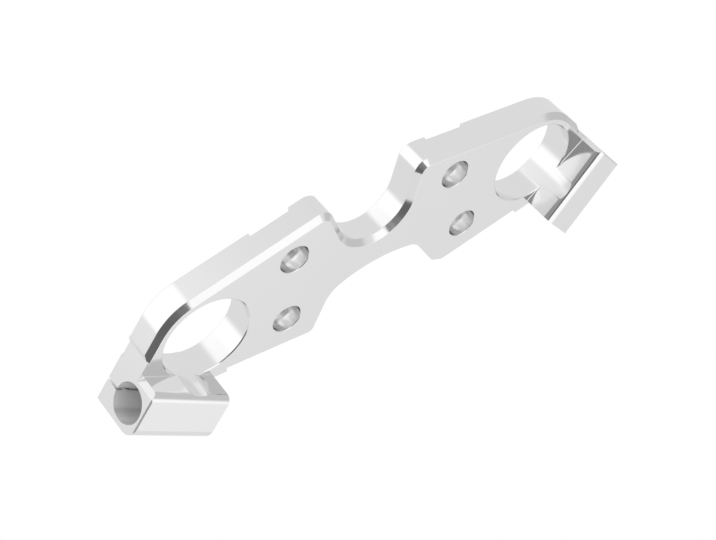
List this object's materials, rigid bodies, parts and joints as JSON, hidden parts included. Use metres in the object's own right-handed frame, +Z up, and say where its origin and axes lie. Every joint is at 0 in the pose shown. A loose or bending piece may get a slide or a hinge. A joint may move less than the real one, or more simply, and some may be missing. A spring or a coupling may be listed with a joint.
{
  "type": "motorcycle triple clamp",
  "caption": "Chromed billet upper triple clamp with fork tube bores, a stem notch, recessed screw holes and drooping bar stub sockets on raised end blocks.",
  "frame": {"origin": "on the flat underside, midway between the two fork tube axes", "axes": "+X from fork tube to fork tube, +Y towards the stem notch, +Z up, out of the plate's upper face"},
  "size_m": [0.3294, 0.101, 0.0381],
  "materials": {
    "chrome": "polished and chrome plated"
  },
  "bodies": {
    "root": {"clamp": "chrome"}
  },
  "joints": []
}
